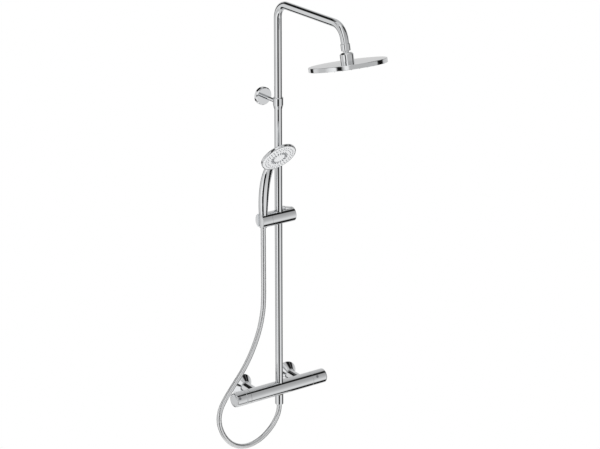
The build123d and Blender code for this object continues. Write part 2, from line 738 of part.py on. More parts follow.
def bracket_flange():
    axis = along_y(0, 0, BRACKET_HEIGHT)
    outer, wall = FLANGE_DIA / 2, FLANGE_WALL
    front, hole = -FLANGE_DEPTH, STEM_DIA / 2 + LOOSE
    return turned(
        axis,
        [(hole, front), (outer - 2.5, front), (outer, front + 2.5), (outer, 0), (outer - wall, 0),
         (outer - wall, front + 3.0), (outer - wall - 1.5, front + wall), (hole, front + wall)],
    )


def arm_path():
    """Centre line of the arm: up, out over the room, then down to the tilted end."""
    lean = radians(END_TILT)
    turn = radians(90 - END_TILT)
    end = Vector(0, AXIS_Y - ARM_REACH, ARM_HEIGHT - END_BEND * (1 - cos(turn)))
    corner_back = END_BEND * tan(turn / 2)
    corner = Vector(0, end.Y + corner_back * sin(lean), ARM_HEIGHT)
    tip = end + Vector(0, -sin(lean), -cos(lean)) * (FERRULE_START + FERRULE_LENGTH - FERRULE_FLOOR)
    bottom, top = Vector(0, AXIS_Y, ARM_BOTTOM), Vector(0, AXIS_Y, ARM_HEIGHT)
    path = FilletPolyline(bottom, top, corner, tip, radius=[ARM_BEND, END_BEND])
    return path, end


def arm_end():
    """Plane at the end of the arm's last bend, its normal along the tilted axis, downwards."""
    lean = radians(END_TILT)
    path, end = arm_path()
    return Plane(origin=end, x_dir=(1, 0, 0), z_dir=(0, -sin(lean), -cos(lean)))


def shower_arm():
    path, end = arm_path()
    start = Plane(origin=path @ 0, z_dir=path % 0)
    return sweep(start * Circle(TUBE_R), path=path) - sweep(start * Circle(TUBE_BORE_R), path=path)


def arm_ferrule():
    axis = arm_end()
    bottom = FERRULE_START + FERRULE_LENGTH
    outer = FERRULE_DIA / 2
    shape = turned(axis, [(0, FERRULE_START), (outer, FERRULE_START), (outer, bottom), (0, bottom)],
                   rounds=[(1, 1.2), (2, 1.2)])
    floor = bottom - FERRULE_FLOOR
    shape -= rod(axis, TUBE_R + LOOSE, FERRULE_START, floor)
    return shape - rod(axis, BALL_NECK_DIA / 2 + LOOSE, floor, bottom)


def ball_stud():
    axis = arm_end()
    top = FERRULE_START + FERRULE_LENGTH - FERRULE_FLOOR
    shape = rod(axis, BALL_NECK_DIA / 2, top, BALL_DROP)
    shape += axis.offset(BALL_DROP) * Sphere(BALL_DIA / 2)
    return shape - rod(axis, OUTLET_BORE_DIA / 2, top, BALL_DROP + BALL_DIA)


def ball_seat():
    """Plastic ring seat, round inside and out, between the ball and the cup."""
    ball = BALL_DIA / 2
    outer = Sphere(ball + SEAT_THICKNESS)
    band = Pos(0, 0, SEAT_DROP) * Cylinder(BALL_DIA, SEAT_LENGTH)
    return arm_end().offset(BALL_DROP) * ((outer & band) - Sphere(ball + RUNNING))


def cup_nut():
    axis = arm_end()
    top = BALL_DROP - CUP_RISE
    outer = CUP_DIA / 2
    bottom = top + CUP_LENGTH
    cavity = BALL_DIA / 2 + SEAT_THICKNESS + GAP
    shape = turned(axis, [(0, top), (outer - CUP_CHAMFER, top), (outer, top + CUP_CHAMFER), (outer, bottom),
                          (0, bottom)], rounds=[(2, 1.5)])
    throat = BALL_DROP - BOWL_HALF
    shape -= turned(axis, [(0, top), (CUP_MOUTH_DIA / 2, top), (CUP_THROAT_DIA / 2, throat), (0, throat)])
    bowl = Sphere(cavity) & Box(2 * CUP_DIA, 2 * CUP_DIA, 2 * BOWL_HALF)
    shape -= axis.offset(BALL_DROP) * bowl
    return shape - rod(axis, boss_radius() + LOOSE, BALL_DROP + BOWL_HALF, bottom)


def boss_radius():
    return CUP_DIA / 2 - CUP_WALL


def head_levels():
    """Distances of the head's levels along the tilted axis: crown, rim top, rim bottom."""
    crown = BALL_DROP - CUP_RISE + CUP_LENGTH
    return crown, crown + HEAD_DOME, crown + HEAD_DOME + HEAD_RIM


def head_top_shell():
    axis = arm_end()
    crown, rim_top, rim_bottom = head_levels()
    outer, wall = HEAD_DIA / 2, HEAD_WALL
    hub, bore = CUP_DIA / 2 + 1, HEAD_BORE_DIA / 2
    ledge = rim_bottom - PLATE - MAT - GAP
    shape = turned(
        axis,
        [(bore, crown), (hub, crown), (outer, rim_top), (outer, rim_bottom), (outer - wall, rim_bottom),
         (outer - wall, ledge), (outer - 2 * wall, ledge), (outer - 3 * wall, rim_top + wall),
         (hub, crown + wall), (bore, crown + wall)],
        rounds=[(2, 1.5), (3, 0.6)],
    )
    return shape + ring(axis, boss_radius(), bore, BALL_DROP + BOWL_HALF + 1.5, crown + wall)


def nozzle_places(rings, pitch):
    """Places on rings: one in the middle and six more on each ring outwards."""
    places = [(0.0, 0.0)]
    for number in range(1, rings + 1):
        for step in range(6 * number):
            angle = radians(360 * step / (6 * number))
            places.append((number * pitch * cos(angle), number * pitch * sin(angle)))
    return places


def head_spray_plate():
    axis = arm_end()
    crown, rim_top, rim_bottom = head_levels()
    front = rim_bottom - PLATE_INSET
    plate = rod(axis, HEAD_DIA / 2 - HEAD_WALL - LOOSE, rim_bottom - PLATE, front)
    hole = Cylinder(NOZZLE_DIA / 2 + LOOSE, 4 * PLATE)
    places = nozzle_places(NOZZLE_RINGS, NOZZLE_PITCH)
    return plate - [axis * (Pos(x, y, front) * hole) for x, y in places]


def head_nozzle_mat():
    """Silicone mat whose nozzles stand through the holes of the spray plate."""
    axis = arm_end()
    crown, rim_top, rim_bottom = head_levels()
    top = rim_bottom - PLATE - MAT
    mat = rod(axis, NOZZLE_RINGS * NOZZLE_PITCH + NOZZLE_DIA, top, top + MAT)
    tip = rim_bottom - PLATE_INSET + NOZZLE_PROUD
    upright = (Align.CENTER, Align.CENTER, Align.MIN)
    nozzle = Cone(NOZZLE_DIA / 2, NOZZLE_TIP_DIA / 2, tip - top - MAT, align=upright)
    places = nozzle_places(NOZZLE_RINGS, NOZZLE_PITCH)
    return mat + [axis * (Pos(x, y, top + MAT) * nozzle) for x, y in places]


def slider_body():
    top, bottom = SLIDER_HEIGHT + SLIDER_R, SLIDER_HEIGHT - SLIDER_R
    shape = rod(SLIDER, SLIDER_R, GAP - CRADLE_SPLIT, SLIDER_END)
    shape -= rod(RISER, BUSH_R + LOOSE, bottom, top)
    shape -= rod(SLIDER, PIVOT_DIA / 2 + LOOSE, -CRADLE_SPLIT, -CRADLE_SPLIT + PIVOT_RIGHT)
    corner = (Align.MIN, Align.CENTER, Align.MIN)
    pocket = Box(BUTTON_LENGTH + 2 * GAP, BUTTON_WIDTH + 2 * GAP, SLIDER_DIA, align=corner)
    shape -= Pos(BUTTON_LEFT - GAP, AXIS_Y, top - BUTTON_POCKET) * pocket
    return shape - rod(BRAKE, BRAKE_DIA / 2 + LOOSE, 0, SLIDER_END)


def slider_end_cap():
    """Disc on the slider's right end, with a plug that the brake spring pushes against."""
    inner, outer = SLIDER_END, SLIDER_RIGHT
    shape = turned(SLIDER, [(0, inner), (SLIDER_R, inner), (SLIDER_R, outer), (0, outer)],
                   rounds=[(2, SLIDER_EDGE)])
    return shape + rod(BRAKE, BRAKE_DIA / 2, inner - CAP_PLUG, inner)


def slider_bush():
    shape = ring(RISER, BUSH_R, TUBE_R + RUNNING, SLIDER_HEIGHT - BUSH_HALF, SLIDER_HEIGHT + BUSH_HALF)
    return shape - rod(BRAKE, BRAKE_DIA / 2 + 2 * LOOSE, 0, BUSH_R + 2)


def brake_pad():
    """Round pad that grips the riser, hollowed to its curve."""
    shape = rod(BRAKE, BRAKE_DIA / 2, BRAKE_START, BUSH_R + BRAKE_LENGTH)
    return shape - rod(RISER, TUBE_R + RUNNING, SLIDER_HEIGHT - SLIDER_R, SLIDER_HEIGHT + SLIDER_R)


def brake_spring():
    start, end = BUSH_R + BRAKE_LENGTH, SLIDER_END - CAP_PLUG
    return coil(BRAKE, BRAKE_SPRING_RADIUS, BRAKE_SPRING_WIRE, start, end, BRAKE_SPRING_PITCH)


def slider_button():
    """Wedge-shaped release lever, proud at its left end and level with the slider at its right."""
    top = SLIDER_HEIGHT + SLIDER_R
    floor = top - BUTTON_POCKET + BUTTON_TRAVEL + BUTTON_SPARE
    left, right = BUTTON_LEFT, BUTTON_LEFT + BUTTON_LENGTH
    corners = [(left, floor), (right, floor), (right, top), (left, top + BUTTON_PROUD)]
    side = make_face(Polyline(*[(x, AXIS_Y, z) for x, z in corners], close=True))
    shape = extrude(side, BUTTON_WIDTH / 2, both=True)
    return fillet(shape.edges().filter_by(lambda e: e.center().Z > floor + RUNNING), BUTTON_EDGE)


def cradle_pivot():
    """Shoulder pin between the slider and the turning cradle."""
    return rod(SLIDER, PIVOT_DIA / 2, -CRADLE_SPLIT - PIVOT_LEFT, -CRADLE_SPLIT + PIVOT_RIGHT)


def cone_radius(height):
    share = (height - NUT_BOTTOM) / (NUT_TOP - NUT_BOTTOM)
    return (CONE_BOTTOM_DIA + share * (CONE_TOP_DIA - CONE_BOTTOM_DIA)) / 2


def handset_cradle():
    """Turning left end of the slider: a cone seat for the nut, open to the left for the hose."""
    left, right = -CRADLE_LEFT, -CRADLE_SPLIT
    shape = turned(SLIDER, [(0, left), (SLIDER_R, left), (SLIDER_R, right), (0, right)],
                   rounds=[(1, SLIDER_EDGE)])
    low, high = SLIDER_HEIGHT - SLIDER_R - 1, SLIDER_HEIGHT + SLIDER_R + 1
    narrow, wide = cone_radius(low) + RUNNING, cone_radius(high) + RUNNING
    shape -= turned(CONE, [(0, low), (narrow, low), (wide, high), (0, high)])
    slot = Box(SLIDER_DIA, CRADLE_SLOT, 2 * SLIDER_DIA, align=(Align.MAX, Align.CENTER, Align.CENTER))
    shape -= Pos(-HANDSET_LEFT, AXIS_Y, SLIDER_HEIGHT) * slot
    return shape - rod(SLIDER, PIVOT_DIA / 2 + RUNNING, -CRADLE_SPLIT - PIVOT_LEFT - LOOSE, -CRADLE_SPLIT)


def hose_cone_nut():
    bore, thread = HOSE_DIA / 2 + LOOSE, HOSE_THREAD_DIA / 2 + RUNNING
    step = INSERT_TOP - INSERT_FLANGE
    narrow, wide = cone_radius(NUT_BOTTOM), cone_radius(NUT_TOP)
    return turned(CONE, [(bore, NUT_BOTTOM), (narrow, NUT_BOTTOM), (wide, NUT_TOP), (thread, NUT_TOP),
                         (thread, step), (bore, step)])


def cone_insert():
    return hose_insert(CONE, INSERT_TOP, NUT_BOTTOM)


def grip_point(out_share, rise_share):
    """Point in the handset's upright plane, by its shares of the way out to the face and up to it."""
    return Vector(-HANDSET_LEFT, AXIS_Y - out_share * FACE_OUT, GRIP_BOTTOM + rise_share * GRIP_RISE)


def handle_sections(shrink):
    sections = []
    for out, rise, half_width, half_depth, lean in HANDLE_STATIONS:
        tilt = radians(lean * FACE_DOWN)
        plane = Plane(origin=grip_point(out, rise), x_dir=(1, 0, 0), z_dir=(0, -sin(tilt), cos(tilt)))
        sections.append(plane * Ellipse(half_width - shrink, half_depth - shrink))
    return sections


def inlay_zone(margin):
    """Space in front of the handle's centre line that the tapered inlay takes its outline from."""
    low = GRIP_BOTTOM + INLAY_START - margin
    high = GRIP_BOTTOM + INLAY_SHARE * GRIP_RISE + margin
    narrow, wide = INLAY_BOTTOM_WIDTH / 2 + margin, INLAY_TOP_WIDTH / 2 + margin
    outline = Polyline((-narrow, 0, low), (narrow, 0, low), (wide, 0, high), (-wide, 0, high), close=True)
    face = make_face(outline)
    face = fillet(face.vertices(), INLAY_CORNER + margin)
    front = Pos(-HANDSET_LEFT, AXIS_Y, 0) * extrude(face, 2 * FACE_OUT, both=True)
    centres = [grip_point(out, rise) for out, rise, *others in HANDLE_STATIONS]
    far = [Vector(c.X, AXIS_Y - 2 * FACE_OUT, c.Z) for c in (centres[-1], centres[0])]
    side = make_face(Polyline(*centres, *far, close=True))
    return front & extrude(side, HANDSET_HEAD_DIA / 2, both=True)


def handset_shell():
    handle_part = loft(handle_sections(0.0))
    rim, dome = HANDSET_RIM, HANDSET_RIM + HANDSET_DOME
    outer = HANDSET_HEAD_DIA / 2
    head = turned(FACE, [(0, 0), (outer, 0), (outer, rim), (outer * DOME_SHARE, dome), (0, dome)],
                  rounds=[(1, 1.5), (2, 3.5), (3, 12.0)])
    shape = handle_part + head
    shape -= rod(FACE, FACE_DIA / 2 + GAP, 0, FACE_THICKNESS + LOOSE)
    shape -= rod(FACE, FACE_DIA / 2 - FACE_LEDGE, 0, rim)
    shape += rod(CONE, HOSE_THREAD_DIA / 2, INSERT_TOP + RUNNING, GRIP_BOTTOM + 2)
    bends = [grip_point(out, rise) for out, rise in WATER_WAY]
    way = FilletPolyline((-HANDSET_LEFT, AXIS_Y, INSERT_TOP), *bends, radius=WATER_WAY_BEND)
    shape -= sweep(Plane(origin=way @ 0, z_dir=way % 0) * Circle(WATER_WAY_DIA / 2), path=way)
    return shape - (inlay_zone(INLAY_GROOVE) - loft(handle_sections(INLAY_DEPTH)))


def handset_inlay():
    skin = loft(handle_sections(0.0)) - loft(handle_sections(INLAY_DEPTH))
    return skin & inlay_zone(0.0)


def on_face(shape, places):
    """Copies of an upright shape at (radius, angle) places of the spray face."""
    return [FACE * (Rot(0, 0, angle) * (Pos(radius, 0, 0) * shape)) for radius, angle in places]


def dot_places():
    places = []
    for radius, count in zip(FACE_RINGS, FACE_RING_COUNTS):
        places += [(radius, 360 * step / count) for step in range(count)]
    return places


def dash_places():
    middle = (DASH_START + DASH_END) / 2
    return [(middle, 360 * step / FACE_DASHES) for step in range(FACE_DASHES)]


def spray_shapes(shrink, start, end):
    """Round and long outlets of the spray face, between two distances behind its plane."""
    dot = Circle(FACE_NOZZLE_DIA / 2 - shrink)
    dash = SlotOverall(DASH_END - DASH_START - 2 * shrink, DASH_WIDTH - 2 * shrink)
    dot, dash = [Pos(0, 0, start) * extrude(outline, end - start) for outline in (dot, dash)]
    return on_face(dot, dot_places()) + on_face(dash, dash_places())


def handset_face():
    edge, front = FACE_DIA / 2, -FACE_PROUD
    plate = turned(FACE, [(0, front), (edge - 1.5, front), (edge, GAP), (edge, FACE_THICKNESS),
                          (0, FACE_THICKNESS)])
    return plate - spray_shapes(0.0, front - 1, FACE_THICKNESS + 1)


def handset_nozzles():
    """Rubber nozzles in the spray face, joined by their backing mat."""
    mat = rod(FACE, FACE_DIA / 2 - FACE_LEDGE - 1, FACE_THICKNESS, FACE_THICKNESS + FACE_MAT)
    return mat + spray_shapes(LOOSE, -FACE_PROUD - FACE_NOZZLE_PROUD, FACE_THICKNESS)


def hose_piece(points):
    return tube_along(points, HOSE_DIA / 2, AXIS_Y)


def pieces():
    """Every node of the part, by name."""
    return {
        "valve_body": valve_body(),
        "wall_unions": pair(wall_union),
        "inlet_nipples": pair(inlet_nipple),
        "check_valves": pair(check_valve),
        "union_nuts": pair(union_nut),
        "rosettes": pair(rosette),
        "sealing_washers": sealing_washers(),
        "stop_rings": pair(stop_ring),
        "flow_cartridge": cartridge(-1, FLOW_WINDOW_AT),
        "fixed_ceramic_disc": ceramic_disc(-DISC_START, -DISC_MEET, FIXED_DISC_DIA / 2),
        "moving_ceramic_disc": ceramic_disc(-DISC_MEET - RUNNING, -DISC_END, MOVING_DISC_DIA / 2),
        "flow_spindle": flow_spindle(),
        "flow_handle": handle(-1, ECO_BUTTON_AT, True),
        "flow_handle_cap": handle_cap(-1),
        "eco_button": stop_button(-1, ECO_BUTTON_AT),
        "thermostat_cartridge": cartridge(1, THERMOSTAT_WINDOW_AT),
        "thermostat_shuttle": thermostat_shuttle(),
        "thermostat_spring": thermostat_spring(),
        "temperature_spindle": temperature_spindle(),
        "temperature_handle": handle(1, SAFETY_BUTTON_AT, False),
        "temperature_handle_cap": handle_cap(1),
        "safety_button": stop_button(1, SAFETY_BUTTON_AT),
        "outlet_nipple": outlet_nipple(),
        "outlet_insert": outlet_insert(),
        "outlet_nut": outlet_nut(),
        "riser_tube": riser_tube(),
        "grub_screws": grub_screws(),
        "swivel_spigot": swivel_spigot(),
        "swivel_o_rings": swivel_o_rings(),
        "bracket_collar": bracket_collar(),
        "bracket_stem": bracket_stem(),
        "bracket_plate": bracket_plate(),
        "bracket_screws": bracket_screws(),
        "bracket_flange": bracket_flange(),
        "shower_arm": shower_arm(),
        "arm_ferrule": arm_ferrule(),
        "ball_stud": ball_stud(),
        "ball_seat": ball_seat(),
        "cup_nut": cup_nut(),
        "head_top_shell": head_top_shell(),
        "head_spray_plate": head_spray_plate(),
        "head_nozzle_mat": head_nozzle_mat(),
        "slider_body": slider_body(),
        "slider_end_cap": slider_end_cap(),
        "slider_bush": slider_bush(),
        "brake_pad": brake_pad(),
        "brake_spring": brake_spring(),
        "slider_button": slider_button(),
        "cradle_pivot": cradle_pivot(),
        "handset_cradle": handset_cradle(),
        "hose_cone_nut": hose_cone_nut(),
        "cone_insert": cone_insert(),
        "handset_shell": handset_shell(),
        "handset_inlay": handset_inlay(),
        "handset_face": handset_face(),
        "handset_nozzles": handset_nozzles(),
        "hose_loop": hose_piece(HOSE_LOOP),
        "hose_drop": hose_piece(HOSE_DROP),
        "hose_neck": hose_piece(HOSE_NECK),
        "hose_tail": hose_piece(HOSE_TAIL),
    }


os.makedirs("parts", exist_ok=True)
for node_name, shape in pieces().items():
    export_step(shape, f"parts/{node_name}.step")
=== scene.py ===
"""Dresses the rainfall shower column: chrome, plastics, rubber, the hose and the studio round it."""

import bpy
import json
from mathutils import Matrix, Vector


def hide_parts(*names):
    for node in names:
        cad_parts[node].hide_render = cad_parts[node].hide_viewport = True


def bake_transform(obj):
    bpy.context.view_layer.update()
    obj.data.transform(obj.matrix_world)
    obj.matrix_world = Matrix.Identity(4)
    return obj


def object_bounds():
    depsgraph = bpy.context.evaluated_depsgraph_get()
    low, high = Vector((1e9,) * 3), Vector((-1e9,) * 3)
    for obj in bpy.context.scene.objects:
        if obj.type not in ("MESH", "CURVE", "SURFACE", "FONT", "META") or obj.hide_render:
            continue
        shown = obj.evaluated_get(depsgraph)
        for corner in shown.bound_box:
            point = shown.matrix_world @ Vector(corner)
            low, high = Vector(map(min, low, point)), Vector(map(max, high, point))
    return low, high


bl_info = {
    "name": "Rainfall Shower Column",
    "version": (1, 0, 0),
    "blender": (4, 5, 0),
    "location": "View3D > Sidebar > Shower",
    "description": "Finishes, hose and studio for a wall-held rainfall shower column",
    "category": "Object",
}

import json
from math import degrees, pi, radians
import bpy

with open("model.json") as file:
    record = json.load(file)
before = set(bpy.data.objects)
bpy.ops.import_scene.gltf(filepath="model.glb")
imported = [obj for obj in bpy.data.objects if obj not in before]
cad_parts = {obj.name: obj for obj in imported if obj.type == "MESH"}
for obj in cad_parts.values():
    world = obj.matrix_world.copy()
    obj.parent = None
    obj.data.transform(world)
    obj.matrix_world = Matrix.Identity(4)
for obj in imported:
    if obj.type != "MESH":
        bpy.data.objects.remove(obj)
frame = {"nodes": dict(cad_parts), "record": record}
CAD_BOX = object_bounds()

MM = 0.001
SIDEBAR = "Shower"

# Route of the hose in the upright plane of the riser: X and Z in metres, from the outlet to the cone nut
HOSE_PLANE = -0.077
HOSE_MAIN = [
    (0, -0.051), (0, -0.066), (-0.010, -0.092), (-0.032, -0.119), (-0.066, -0.142), (-0.108, -0.151),
    (-0.150, -0.138), (-0.183, -0.103), (-0.201, -0.056), (-0.196, -0.016), (-0.174, 0.018), (-0.143, 0.054),
    (-0.112, 0.092), (-0.086, 0.137), (-0.066, 0.184), (-0.054, 0.232), (-0.050, 0.272), (-0.050, 0.3104),
]
HOSE_NECK = [(-0.050, 0.3104), (-0.050, 0.400)]
HOSE_TAIL = [(-0.050, 0.400), (-0.050, 0.485)]
# Height, just above the left handle, given with the main span of the hose
HOSE_FREE_FROM = 0.020
# Order of the curve, its steps from one point of the route to the next, and how finely the tube is round
HOSE_ORDER = 3
HOSE_STEPS = 16
HOSE_ROUNDNESS = 10


def linear(hex_colour):
    """A colour written as sRGB hex, as linear red, green, blue and alpha."""
    values = [int(hex_colour[i:i + 2], 16) / 255 for i in (1, 3, 5)]
    return tuple(v / 12.92 if v <= 0.04045 else ((v + 0.055) / 1.055) ** 2.4 for v in values) + (1.0,)


def add_node(tree, kind, settings=None, **inputs):
    """Adds a node with its settings; an input is a plain value or the output socket to link."""
    node = tree.nodes.new(kind)
    for name, value in (settings or {}).items():
        setattr(node, name, value)
    for name, value in inputs.items():
        key = int(name[1:]) if name[0] == "_" and name[1:].isdigit() else name.replace("_", " ")
        if isinstance(value, bpy.types.NodeSocket):
            tree.links.new(value, node.inputs[key])
        else:
            node.inputs[key].default_value = value
    return node


def new_material(name):
    """An empty material with its output and shader, and its object coordinates."""
    material = bpy.data.materials.new(name)
    material.use_nodes = True
    tree = material.node_tree
    shader = tree.nodes["Principled BSDF"]
    where = add_node(tree, "ShaderNodeTexCoord").outputs["Object"]
    return material, tree, shader, where


NOISE_DETAIL = 3.0
BUMP_STRENGTH = 0.2


def grain(tree, where, size_mm, low=0.0, high=1.0):
    """Soft noise of that real size, as a number from low to high."""
    noise = add_node(tree, "ShaderNodeTexNoise", Vector=where,
                     Scale=1.0 / (size_mm * MM), Detail=NOISE_DETAIL)
    spread = add_node(tree, "ShaderNodeMapRange", Value=noise.outputs["Fac"], To_Min=low, To_Max=high)
    return spread.outputs["Result"]


def bumped(tree, shader, height, depth_mm):
    """Raises the surface by a height from 0 to 1, to that real depth."""
    bump = add_node(tree, "ShaderNodeBump", Height=height, Strength=BUMP_STRENGTH, Distance=depth_mm * MM)
    tree.links.new(bump.outputs["Normal"], shader.inputs["Normal"])


def speckled(tree, where, size_mm, dark, light):
    """Two near colours mixed by soft noise."""
    share = grain(tree, where, size_mm)
    mix = add_node(tree, "ShaderNodeMix", {"data_type": "RGBA"}, _0=share, _6=linear(dark), _7=linear(light))
    return mix.outputs[2]


def polished_chrome(look):
    """Chrome plate on brass: a mirror with the faintest haze where water has dried."""
    material, tree, shader, where = new_material("polished_chrome")
    shader.inputs["Metallic"].default_value = 1.0
    tree.links.new(speckled(tree, where, 45, look.chrome_dark, look.chrome), shader.inputs["Base Color"])
    tree.links.new(grain(tree, where, size_mm=30, low=0.02, high=0.05), shader.inputs["Roughness"])
    bumped(tree, shader, grain(tree, where, size_mm=14), depth_mm=0.005)
    return material


def plated_plastic(look):
    """Chrome plate on moulded plastic: a little softer, with a slow ripple from the mould."""
    material, tree, shader, where = new_material("plated_plastic")
    shader.inputs["Metallic"].default_value = 1.0
    tree.links.new(speckled(tree, where, 60, look.chrome_dark, look.chrome), shader.inputs["Base Color"])
    tree.links.new(grain(tree, where, size_mm=25, low=0.03, high=0.07), shader.inputs["Roughness"])
    bumped(tree, shader, grain(tree, where, size_mm=20), depth_mm=0.008)
    return material


def satin_plate(look):
    """Satin chrome on a small button, blasted before plating."""
    material, tree, shader, where = new_material("satin_plate")
    shader.inputs["Metallic"].default_value = 1.0
    tree.links.new(speckled(tree, where, 3, "#8f9194", "#b4b6b9"), shader.inputs["Base Color"])
    tree.links.new(grain(tree, where, size_mm=1, low=0.28, high=0.4), shader.inputs["Roughness"])
    return material


def machined(name, dark, light, low, high):
    """Turned metal with fine tool marks."""
    material, tree, shader, where = new_material(name)
    shader.inputs["Metallic"].default_value = 1.0
    tree.links.new(speckled(tree, where, 6, dark, light), shader.inputs["Base Color"])
    tree.links.new(grain(tree, where, size_mm=2, low=low, high=high), shader.inputs["Roughness"])
    bumped(tree, shader, grain(tree, where, size_mm=0.6), depth_mm=0.01)
    return material


def moulded(name, dark, light, low, high, grit_mm):
    """Moulded plastic, rubber or ceramic with a fine grit."""
    material, tree, shader, where = new_material(name)
    tree.links.new(speckled(tree, where, 12, dark, light), shader.inputs["Base Color"])
    tree.links.new(grain(tree, where, size_mm=4, low=low, high=high), shader.inputs["Roughness"])
    bumped(tree, shader, grain(tree, where, size_mm=grit_mm), depth_mm=0.02)
    return material


def silver_hose(look):
    """Silver foil under clear PVC: a satin metal, smooth to the eye, with a slow change of tone."""
    material, tree, shader, where = new_material("silver_hose")
    shader.inputs["Metallic"].default_value = 0.9
    shader.inputs["Coat Weight"].default_value = 0.3
    shader.inputs["Coat Roughness"].default_value = 0.12
    tree.links.new(speckled(tree, where, 25, look.hose_dark, look.hose), shader.inputs["Base Color"])
    tree.links.new(grain(tree, where, size_mm=30, low=0.2, high=0.24), shader.inputs["Roughness"])
    bumped(tree, shader, grain(tree, where, size_mm=18), depth_mm=0.01)
    return material


# Machined and moulded finishes give the darker and lighter tone, the least and most roughness, and moulded
# ones the size of their grit in mm
FINISHES = {
    "chrome": polished_chrome,
    "chrome_plastic": plated_plastic,
    "brass": lambda look: machined("machined_brass", "#a07c33", "#c6a456", 0.2, 0.32),
    "stainless_steel": lambda look: machined("stainless_steel", "#96989b", "#bcbec0", 0.2, 0.34),
    "rubber": lambda look: moulded("black_rubber", "#0d0d0d", "#1b1b1b", 0.6, 0.75, 0.8),
    "white_plastic": lambda look: moulded("white_acetal", "#d7d6d0", "#e6e5e0", 0.38, 0.5, 1.0),
    "ceramic": lambda look: moulded("lapped_alumina", "#e2dfd6", "#efece4", 0.12, 0.2, 0.5),
    "grey_plastic": lambda look: moulded("pale_grey_plastic", look.face_dark, look.face, 0.22, 0.32, 1.2),
    "silicone": lambda look: moulded("grey_silicone", look.nozzle_dark, look.nozzle, 0.5, 0.62, 0.8),
    "button_plastic": satin_plate,
    "hose": silver_hose,
}


class ShowerLook(bpy.types.PropertyGroup):
    """Colours that a user would change, as sRGB hex."""

    chrome: bpy.props.StringProperty(
        name="Chrome", description="Lighter tone of the plate", default="#f2f3f4")
    chrome_dark: bpy.props.StringProperty(
        name="Chrome haze", description="Tone of the plate where water has dried", default="#e6e8ea")
    hose: bpy.props.StringProperty(
        name="Hose", description="Lighter tone of the hose's foil", default="#eeeff0")
    hose_dark: bpy.props.StringProperty(
        name="Hose shade", description="Darker tone of the hose's foil", default="#e2e3e4")
    face: bpy.props.StringProperty(
        name="Spray face", description="Lighter tone of the face", default="#f6f7f8")
    face_dark: bpy.props.StringProperty(
        name="Spray face shade", description="Darker tone of the face", default="#eff0f1")
    nozzle: bpy.props.StringProperty(
        name="Nozzle", description="Lighter tone of the silicone", default="#7d8084")
    nozzle_dark: bpy.props.StringProperty(
        name="Nozzle shade", description="Darker tone of the silicone", default="#686b6f")


class ShowerHose(bpy.types.PropertyGroup):
    """Sizes of the hose."""

    diameter: bpy.props.FloatProperty(
        name="Diameter", description="Outside diameter of the hose", default=14 * MM, unit="LENGTH",
        precision=4)


class ShowerStudio(bpy.types.PropertyGroup):
    """The floor, the bright tent round the object and the fill light."""

    floor_drop: bpy.props.FloatProperty(
        name="Floor drop", description="Floor below the lowest point", default=0.8, unit="LENGTH")
    floor_radius: bpy.props.FloatProperty(
        name="Floor radius", description="Radius of the round floor", default=0.6, unit="LENGTH")
    floor_glow: bpy.props.FloatProperty(
        name="Floor glow", description="Light from under the paper floor", default=0.35, subtype="FACTOR")
    gap_soft: bpy.props.FloatProperty(
        name="Gap edge", description="Soft edge of a dark gap", default=radians(5), subtype="ANGLE")
    gap_tone: bpy.props.FloatProperty(
        name="Gap tone", description="Brightness in a dark gap", default=0.01, subtype="FACTOR")
    fill: bpy.props.FloatProperty(
        name="Fill", description="Strength of the fill light from the room", default=1.6, unit="POWER")
    fill_spread: bpy.props.FloatProperty(
        name="Fill spread", description="Softness of the fill light", default=radians(50), subtype="ANGLE")


def dress_nodes(look):
    """Gives every node of the frame the finish of its slot."""
    finishes = {slot: make(look) for slot, make in FINISHES.items()}
    for part in frame["record"]["subparts"]:
        mesh = frame["nodes"][part["node"]].data
        mesh.materials.clear()
        mesh.materials.append(finishes[part["material_slot"]])


def hose_line(name, points):
    """Smooth curve with the route's points as its control points, and the points that it passes through."""
    curve = bpy.data.curves.new(name, "CURVE")
    curve.dimensions = "3D"
    curve.resolution_u = HOSE_STEPS
    spline = curve.splines.new("NURBS")
    spline.points.add(len(points) - 1)
    for point, (x, z) in zip(spline.points, points):
        point.co = (x, HOSE_PLANE, z, 1.0)
    spline.order_u = HOSE_ORDER
    spline.use_endpoint_u = True
    line = bpy.data.objects.new(name, curve)
    bpy.context.scene.collection.objects.link(line)
    bpy.context.view_layer.update()
    plain = bpy.data.meshes.new_from_object(line.evaluated_get(bpy.context.evaluated_depsgraph_get()))
    path = [tuple(v.co) for v in plain.vertices]
    bpy.data.meshes.remove(plain)
    return line, path


def hose_tube(name, points, diameter):
    """Round hose along the route, as a mesh, with the line that it follows."""
    line, path = hose_line(name, points)
    line.data.bevel_depth = diameter / 2
    line.data.bevel_resolution = HOSE_ROUNDNESS
    bpy.ops.object.select_all(action="DESELECT")
    line.select_set(True)
    bpy.context.view_layer.objects.active = line
    bpy.ops.object.convert(target="MESH")
    bpy.ops.object.shade_smooth()
    return bpy.context.view_layer.objects.active, path


class SHOWER_OT_finishes(bpy.types.Operator):
    """Finishes every piece of the frame"""

    bl_idname = "shower.finishes"
    bl_label = "Finishes"

    def execute(self, context):
        dress_nodes(context.scene.shower_look)
        return {"FINISHED"}


